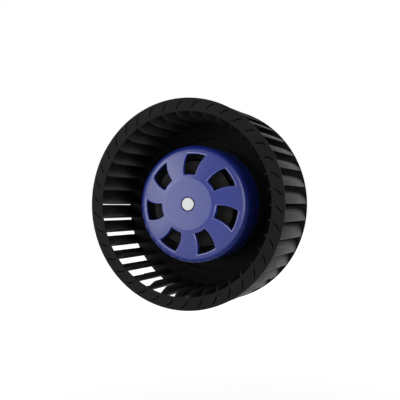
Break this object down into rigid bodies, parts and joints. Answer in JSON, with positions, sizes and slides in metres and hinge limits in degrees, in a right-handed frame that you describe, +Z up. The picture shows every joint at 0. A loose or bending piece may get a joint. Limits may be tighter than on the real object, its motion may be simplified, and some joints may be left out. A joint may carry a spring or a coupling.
{
  "type": "centrifugal fan",
  "caption": "Forward-curved centrifugal fan wheel on an external-rotor motor, bolted up by a round flange at its back.",
  "frame": {"origin": "centre of the motor's mounting face, on the fan's axis", "axes": "+Y along the fan's axis out of its back, away from the inlet; +Z up; cable entry at -Z"},
  "size_m": [0.16, 0.0802, 0.16],
  "materials": {
    "impeller_sheet": "black satin coating on sheet steel",
    "rotor_paint": "dark blue satin paint",
    "electrical_steel": "stacked electrical sheet",
    "cast_aluminium": "die cast, as cast",
    "varnished_aluminium": "die cast, dipped in dark varnish",
    "varnished_steel": "stacked electrical sheet in dark varnish",
    "ground_steel": "ground and turned steel",
    "sintered_bronze": "oiled sintered bronze",
    "winding_copper": "resin-coated copper wire",
    "cap_plastic": "brownish black moulded plastic",
    "washer_plastic": "plain moulded plastic",
    "grommet_rubber": "matt black"
  },
  "bodies": {
    "stator": {"mounting_flange": "cast_aluminium", "stator_core": "electrical_steel", "stator_winding": "winding_copper", "front_end_cap": "cap_plastic", "rear_end_cap": "cap_plastic", "front_bearing_sleeve": "sintered_bronze", "rear_bearing_sleeve": "sintered_bronze", "front_thrust_washer": "washer_plastic", "rear_thrust_washer": "washer_plastic", "cable_grommet": "grommet_rubber", "bearing_cap": "ground_steel"},
    "rotor": {"front_ring": "impeller_sheet", "back_plate": "impeller_sheet", "blade_01": "impeller_sheet", "blade_02": "impeller_sheet", "blade_03": "impeller_sheet", "blade_04": "impeller_sheet", "blade_05": "impeller_sheet", "blade_06": "impeller_sheet", "blade_07": "impeller_sheet", "blade_08": "impeller_sheet", "blade_09": "impeller_sheet", "blade_10": "impeller_sheet", "blade_11": "impeller_sheet", "blade_12": "impeller_sheet", "blade_13": "impeller_sheet", "blade_14": "impeller_sheet", "blade_15": "impeller_sheet", "blade_16": "impeller_sheet", "blade_17": "impeller_sheet", "blade_18": "impeller_sheet", "blade_19": "impeller_sheet", "blade_20": "impeller_sheet", "blade_21": "impeller_sheet", "blade_22": "impeller_sheet", "blade_23": "impeller_sheet", "blade_24": "impeller_sheet", "blade_25": "impeller_sheet", "blade_26": "impeller_sheet", "blade_27": "impeller_sheet", "blade_28": "impeller_sheet", "blade_29": "impeller_sheet", "blade_30": "impeller_sheet", "blade_31": "impeller_sheet", "blade_32": "impeller_sheet", "blade_33": "impeller_sheet", "blade_34": "impeller_sheet", "blade_35": "impeller_sheet", "blade_36": "impeller_sheet", "blade_37": "impeller_sheet", "blade_38": "impeller_sheet", "rotor_bell": "rotor_paint", "rotor_core": "varnished_steel", "rotor_cage": "varnished_aluminium", "shaft": "ground_steel", "shaft_circlip": "ground_steel"}
  },
  "joints": [
    {"name": "rotor_spin", "type": "hinge", "parent": "stator", "child": "rotor", "pos_m": [0, 0, 0], "axis": [0, -1, 0], "continuous": true}
  ]
}
